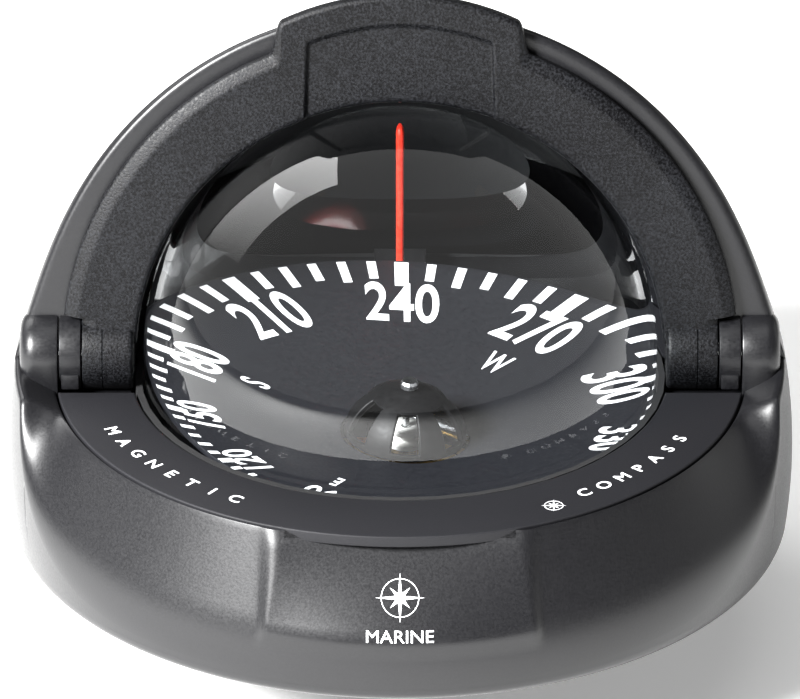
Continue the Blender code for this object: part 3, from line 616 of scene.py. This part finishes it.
def tabWeight(phi):
    off = abs(degrees(phi) - 90)
    return 1 - softStep((off - (90 - visor["tabFrom"] - 3.2)) / 4.0)


def tabOutline(phi):
    # a circle about a point above the hinge line, met along a ray from the pivot
    c, r = visor["tabCentre"], visor["tabRadius"]
    return c * sin(phi) + sqrt(r * r - (c * cos(phi)) ** 2)


def scoopAt(q, phi):
    x, up = q * cos(phi), q * sin(phi)
    top = visor["scoopRadius"] - hypot(x, up - visor["tabCentre"])
    side = visor["scoopHalf"] + 0.12 * max(70 - up, 0) / 4 - abs(x)
    rise = softStep(top / 1.6) * softStep(side / 0.55)
    return visor["scoopDepth"] * rise


def visorColumn(phi):
    v = visor
    tab = tabWeight(phi)
    outer = v["lip"] + (max(tabOutline(phi), v["lip"]) - v["lip"]) * tab
    edge = v["webOuter"] + (outer - 0.9 - v["webOuter"]) * tab
    if abs(degrees(phi) - 90) > 90 - v["reliefTo"]:      # room for the bush beside each hub
        outer = v["reliefOuter"] / abs(cos(phi))
        edge = outer - (v["lip"] - v["webOuter"])
    depth = v["lipDepth"] * (1 - tab) + 0.5 * tab
    thick = v["thick"] + (v["tabThick"] - v["thick"]) * tab
    inner = curveCorner(Vector((v["webInner"], 1.5)), Vector((v["webInner"], 0)),
                        Vector((v["webInner"] + 1.3, 0)), 5)
    face = [inner[-1].lerp(Vector((edge - 0.4, 0)), i / 44) for i in range(1, 45)]
    lipEdge = curveCorner(face[-1], Vector((edge, 0)), Vector((edge, 0)).lerp(Vector((outer, depth)), 0.25), 3)
    rim = curveCorner(Vector((edge, 0)).lerp(Vector((outer, depth)), 0.7), Vector((outer, depth)),
                      Vector((outer, depth + 0.5)), 4)
    back = curveCorner(Vector((outer, thick - 0.5)), Vector((outer, thick)), Vector((outer - 0.5, thick)), 3)
    outline = [Vector((v["webInner"], thick))] + inner + face + lipEdge[1:] + rim + back
    outline += [Vector((66.0, thick)), Vector((v["webInner"], thick))]
    column = []
    for dot in outline:
        dig = scoopAt(dot.x, phi) if dot.y < thick - 1.2 else 0
        column.append(leanPoint(dot.x, phi, -v["faceAhead"] + dot.y + dig * (1 - dot.y / thick)))
    return column


def makeVisor():
    v = visor
    angles = [v["endAt"] + 1.5 * i for i in range(43)] + [66.5 + 0.25 * i for i in range(189)]
    angles += [180 - v["endAt"] - 1.5 * i for i in range(43)]
    angles = sorted(angles + [90 + s * (90 - v["reliefTo"] + d) for s in (-1, 1) for d in (-0.03, 0.03)])
    bm = closedSheet([visorColumn(radians(a)) for a in angles])
    capEnds(bm)
    addPiece("visorFrame", bm, grainedAsa, "visor", ["visor"], sharpDeg=55)
    # shell: an arc turned about the hinge line, cut flat behind the frame
    outside = [Vector((v["shell"] * cos(radians(a)), v["shell"] * sin(radians(a)))) for a in range(4, 177, 2)]
    thin = v["shell"] - v["wall"]
    inside = [Vector((thin * cos(radians(a)), thin * sin(radians(a)))) for a in range(176, 3, -2)]
    bm = bmesh.new()
    start = radians(90 + 9.5 - 8)           # from straight ahead, over the top
    dots = [bm.verts.new(Vector((d.x, -d.y * cos(start), pivotZ + d.y * sin(start))) * mm)
            for d in outside + inside]
    ring = [bm.edges.new(pair) for pair in zip(dots, dots[1:] + dots[:1])]
    bmesh.ops.spin(bm, geom=dots + ring, cent=hub * mm, axis=(-1, 0, 0),
                   angle=radians(v["tail"]) - start, steps=56)
    cutAt = leanPoint(0, 0, -v["faceAhead"] + v["thick"] - 0.6) * mm
    bmesh.ops.bisect_plane(bm, geom=bm.verts[:] + bm.edges[:] + bm.faces[:], plane_co=cutAt,
                           plane_no=(0, -cos(lean), sin(lean)), clear_outer=True)
    capEnds(bm)
    addPiece("visorShell", bm, grainedAsa, "visor", ["visor"], sharpDeg=55)
    for name, side in (("Left", -1), ("Right", 1)):
        low, high = hinge["hub"]
        split, r = hinge["split"], hinge["radius"]
        corners = [(2.7, low, 0), (r, low, 1.1), (r, split - 0.15, 0), (r - 0.25, split, 0),
                   (r, split + 0.15, 0),
                   (r, high, 0.35), (2.7, high, 0)]
        outline = [(q.x, side * q.y) for q in roundCorners(corners, 4)]
        bm = lathe(outline, "X", hinge["steps"], hub)
        addPiece("visorHub" + name, bm, grainedAsa, "visor", ["visor"])


# dome: clear shell and the liquid in it, as one lens
dome = {"radius": 56.0, "belowRadius": 53.4, "flange": 60.3, "flangeTop": 26.9, "flangeFoot": 24.1,
        "foot": -9.0}


def makeDome():
    d = dome
    outline = []
    stop = asin((d["flangeTop"] - pivotZ) / d["radius"])
    for i in range(49):
        a = pi / 2 + (stop - pi / 2) * i / 48
        outline.append((d["radius"] * cos(a) if i else 0, pivotZ + d["radius"] * sin(a)))
    outline += [(d["flange"], d["flangeTop"]), (d["flange"], d["flangeFoot"])]
    start = asin((d["flangeFoot"] - pivotZ) / d["belowRadius"])
    stop = asin((d["foot"] - pivotZ) / d["belowRadius"])
    for i in range(17):
        a = start + (stop - start) * i / 16
        outline.append((d["belowRadius"] * cos(a), pivotZ + d["belowRadius"] * sin(a)))
    outline.append((0, d["foot"]))
    bm = lathe(outline, "Z", 128, closed=False)
    addPiece("liquidDome", bm, liquidDome, "housing", ["dome"], sharpDeg=50)


# card
card = {"radius": 40.0, "rim": 27.6, "dish": 26.3, "thick": 1.1, "north": -118.6,
        "gimbal": 17.0, "roll": 4.5, "pitch": 5.2, "tickEnd": 39.5,
        "ticks": {30: (4.1, 1.6), 10: (3.5, 1.05), 5: (2.9, 1.05)}, "digitHeight": 7.3, "digitRadius": 31.8,
        "digitNarrow": 0.6, "letterHeight": 4.4, "letterRadius": 23.6}


def cardTop(radius):
    share = min(max((radius - 12) / (card["radius"] - 13.2), 0), 1)
    return card["dish"] + (card["rim"] - card["dish"]) * share


def hang(bm):
    # leans what floats level: the base itself stands on a slight slope
    centre = Matrix.Translation((0, 0, card["gimbal"] * mm))
    turn = Matrix.Rotation(radians(card["roll"]), 4, "Y") @ Matrix.Rotation(radians(card["pitch"]), 4, "X")
    bmesh.ops.transform(bm, matrix=centre @ turn @ centre.inverted(), verts=bm.verts)
    return bm


def onCard(bm, bearing, radius):
    # lays flat print on the card at a bearing, its top outward, following the dish
    turn = radians(card["north"] - bearing)
    for vert in bm.verts:
        x, out, proud = (c / mm for c in vert.co)
        out += radius
        vert.co = Matrix.Rotation(turn, 3, "Z") @ Vector((x, out, cardTop(out) + 0.03 + proud)) * mm
    return bm


def makeCard():
    c = card
    r = c["radius"]
    corners = [(9.6, c["dish"], 0.1), (12, c["dish"], 0.5), (r - 1.2, c["rim"], 0.3), (r, c["rim"], 0.3),
               (r, c["rim"] - c["thick"], 0.2), (r - 1, c["rim"] - 1.0, 0), (12, c["dish"] - 0.9, 0.2),
               (9.6, c["dish"] - 0.9, 0.1)]
    bm = lathe([(q.x, q.y) for q in roundCorners(corners, 3)], "Z", 180)
    addPiece("cardDisc", hang(bm), cardPaint, "card", ["card_disc"])
    ticks = bmesh.new()
    for bearing in range(0, 360, 5):
        long, wide = c["ticks"][30 if bearing % 30 == 0 else 10 if bearing % 10 == 0 else 5]
        one = blockOf(bmesh.new(), (-wide / 2, -long, 0), (wide / 2, 0, 0.04))
        gather(ticks, onCard(one, bearing, c["tickEnd"]))
    addPiece("cardTicks", hang(ticks), whitePrint, "card")
    figures = bmesh.new()
    for bearing in range(0, 360, 30):
        if bearing:
            text = letterMesh(str(bearing), c["digitHeight"], narrow=c["digitNarrow"], bold=0.16)
            gather(figures, onCard(text, bearing, c["digitRadius"]))
    for bearing, letter in ((0, "N"), (90, "E"), (180, "S"), (270, "W")):
        away = c["digitRadius"] if bearing == 0 else c["letterRadius"]
        text = letterMesh(letter, c["letterHeight"], narrow=0.5, bold=0.08)
        gather(figures, onCard(text, bearing, away))
    addPiece("cardFigures", hang(figures), whitePrint, "card", tidyNormals=False)


cage = {"radius": 9.1, "foot": 26.2, "wall": 0.9, "squash": 0.9, "windows": 6, "windowHalf": 17.0,
        "windowLow": 8.0, "windowHigh": 54.0}


def makeCage():
    g = cage
    bm = bmesh.new()
    bmesh.ops.create_uvsphere(bm, u_segments=72, v_segments=48, radius=g["radius"] * mm)
    gone = []
    for face in bm.faces:
        spot = face.calc_center_median() / (g["radius"] * mm)
        rise = degrees(asin(max(-1, min(1, spot.z))))
        around = (degrees(atan2(spot.y, spot.x)) - 90) % (360 / g["windows"])
        off = min(around, 360 / g["windows"] - around)
        if rise < 0 or (off < g["windowHalf"] and g["windowLow"] < rise < g["windowHigh"]):
            gone.append(face)
    bmesh.ops.delete(bm, geom=gone, context="FACES")
    bmesh.ops.recalc_face_normals(bm, faces=bm.faces)
    bmesh.ops.solidify(bm, geom=bm.faces[:], thickness=g["wall"] * mm)
    bmesh.ops.scale(bm, vec=(1, 1, g["squash"]), verts=bm.verts)
    bmesh.ops.translate(bm, vec=(0, 0, g["foot"] * mm), verts=bm.verts)
    piece = addPiece("hubCage", hang(bm), darkNylon, "card", ["card_hub"])
    soften = piece.modifiers.new("soften", "BEVEL")
    soften.width, soften.segments, soften.limit_method, soften.angle_limit = 0.18 * mm, 2, "ANGLE", radians(50)


def makeNeedle():
    collar = roundCorners([(0.8, 24.9, 0), (2.8, 24.9, 0.3), (2.8, 25.8, 0.3), (1.5, 26.0, 0.2),
                           (1.5, 27.0, 0.2),
                           (2.8, 27.2, 0.3), (2.8, 28.0, 0.4), (0.8, 28.0, 0)], 3)
    bm = lathe([(q.x, q.y) for q in collar], "Z", 48)
    addPiece("pivotCollar", hang(bm), whiteAcetal, "gimbal_frame", ["pivot_collar"])


def makeLubber():
    outline = [(0, 25.2), (0.42, 25.2), (0.42, 43.1)]
    outline += [(0.42 * cos(radians(a)), 43.1 + 0.5 * sin(radians(a))) for a in (30, 60)] + [(0, 43.6)]
    bm = lathe(outline, "Z", 24, (0, 42.6, 0), closed=False)
    addPiece("lubberLine", bm, redEnamel, "housing", ["lubber_line"])


makeHousing()
makeKnuckles()
makeBushes()
print("housing made")
makePlate()
makePlateWords()
makeGripPrint()
print("plate and print made")
makeVisor()
print("visor made")
makeDome()
makeCard()
makeCage()
makeNeedle()
makeLubber()
print("dome and card made")


# finishes on the carried-over pieces
carried = {
    mattPbt: ["rear_trim"],
    foam: ["flange_gasket"],
    nitrile: ["dome_seal", "capsule_gasket", "diaphragm", "filler_washer", "cable_gland"],
    blackAcetal: ["capsule_bowl", "retaining_ring", "diaphragm_cover", "lamp_holder", "compensator_body",
                  "compensator_cover", "gimbal_yoke", "lubber_bracket"],
    lampAcrylic: ["lamp_lens"],
    sapphire: ["jewel"],
    steel: ["hinge_pin_left", "hinge_pin_right", "cover_screw_1", "cover_screw_2", "cover_screw_3",
            "cover_screw_4", "roll_pin_front", "roll_pin_rear", "pitch_pin_left", "pitch_pin_right",
            "hub_screw", "pivot_needle"],
    brass: ["mounting_insert_1", "mounting_insert_2", "mounting_insert_3", "mounting_insert_4",
            "filler_plug", "gimbal_ring", "gimbal_frame", "counterweight", "pivot_stem",
            "compensator_gear_1", "compensator_gear_2", "compensator_gear_3", "compensator_gear_4"],
    nickel: ["card_magnet_1", "card_magnet_2", "compensator_magnet_1", "compensator_magnet_2",
             "compensator_magnet_3", "compensator_magnet_4"],
}
for material, names in carried.items():
    for name in names:
        mesh = frame["nodes"][name].data
        mesh.materials.clear()
        mesh.materials.append(material)
print("finishes put on")


# floor, light and camera
studio = {"floor": "#f4f4f3", "floorGlow": 0.3, "world": "#ffffff", "worldSeen": 1.0,
          "worldLight": 0.1, "gap": 0.2}


def makeFloor():
    bm = bmesh.new()
    bmesh.ops.create_grid(bm, x_segments=1, y_segments=1, size=6)
    bmesh.ops.translate(bm, vec=(0, 0, cadBox[0][2] - studio["gap"] * mm), verts=bm.verts)
    mesh = bpy.data.meshes.new("floor")
    bm.to_mesh(mesh)
    bm.free()
    material, tree, shader = newMaterial("palePaper", Roughness=0.9)
    ramp = addNode(tree, "ValToRGB", {"Fac": objectNoise(tree, 400.0)})
    ramp.color_ramp.elements[0].color = srgb("#f1f1f0")
    ramp.color_ramp.elements[1].color = srgb(studio["floor"])
    tree.links.new(ramp.outputs["Color"], shader.inputs["Base Color"])
    shader.inputs["Emission Color"].default_value = srgb("#ffffff")
    shader.inputs["Emission Strength"].default_value = studio["floorGlow"]
    mesh.materials.append(material)
    floor = bpy.data.objects.new("floor", mesh)
    bpy.context.scene.collection.objects.link(floor)


def addSoftbox(name, away, distance, size, power, along=(1, 0, 0), fade=None, skip=()):
    light = bpy.data.lights.new(name, "AREA")
    light.shape, light.size, light.size_y, light.energy = "RECTANGLE", size[0], size[1], power
    lamp = bpy.data.objects.new(name, light)
    back = Vector(away).normalized()
    across = (Vector(along) - back * back.dot(Vector(along))).normalized()
    turn = Matrix((across, back.cross(across), back)).transposed()
    lamp.matrix_world = Matrix.Translation(hub * mm + back * distance) @ turn.to_4x4()
    if fade is not None:                 # dimmer towards one end of its length
        light.use_nodes = True
        tree = light.node_tree
        where = addNode(tree, "SeparateXYZ", {0: addNode(tree, "NewGeometry").outputs["Parametric"]})
        glow = addNode(tree, "MapRange", {"Value": where.outputs["X"], "To Min": fade[0], "To Max": fade[1]})
        tree.links.new(glow.outputs["Result"], tree.nodes["Emission"].inputs["Strength"])
    bpy.context.scene.collection.objects.link(lamp)
    if skip:                             # a flag keeps it off these pieces
        lit = bpy.data.collections.new(name + "Lit")
        for thing in bpy.context.scene.objects:
            if thing.type == "MESH" and thing.name not in skip:
                lit.objects.link(thing)
        lamp.light_linking.receiver_collection = lit


makeFloor()
world = bpy.data.worlds.new("studio")
bpy.context.scene.world = world
world.use_nodes = True
tree = world.node_tree
# the backdrop is seen white, directly and mirrored in the dome, and lights the rest more gently
path = addNode(tree, "LightPath")
seen = addNode(tree, "Math", {0: path.outputs["Is Camera Ray"], 1: path.outputs["Is Singular Ray"]},
               operation="MAXIMUM").outputs[0]
level = addNode(tree, "MapRange", {"Value": seen, "To Min": studio["worldLight"],
                                   "To Max": studio["worldSeen"]})
backdrop = tree.nodes["Background"]
backdrop.inputs["Color"].default_value = srgb(studio["world"])
tree.links.new(level.outputs["Result"], backdrop.inputs["Strength"])
addSoftbox("boxBehindLeft", (-0.63, 0.494, 0.596), 0.9, (0.7, 0.46), 4.6, (0.555, 0.151, 0.46), (0.12, 2.1))
addSoftbox("keyFrontLeft", (-0.6, -0.56, 0.57), 1.1, (0.32, 0.32), 72, skip=("liquidDome",))
addSoftbox("fillTop", (0.15, -0.1, 1.0), 1.6, (0.9, 0.9), 4.5, skip=("liquidDome",))
addSoftbox("cardRight", (0.886, 0.37, 0.28), 1.2, (0.7, 0.5), 0.9, skip=("liquidDome",))

view = {"place": (0, -1.741, 0.9445), "pitch": 27.45, "lens": 405.4, "sensor": 36.0}
lensData = bpy.data.cameras.new("view")
lensData.lens, lensData.sensor_width = view["lens"], view["sensor"]
lensData.clip_start, lensData.clip_end = 0.05, 50
camera = bpy.data.objects.new("view", lensData)
camera.location = view["place"]
camera.rotation_euler = (radians(90 - view["pitch"]), 0, 0)
bpy.context.scene.collection.objects.link(camera)
bpy.context.scene.camera = camera
bpy.context.scene.view_settings.view_transform = "Standard"
print("studio set")
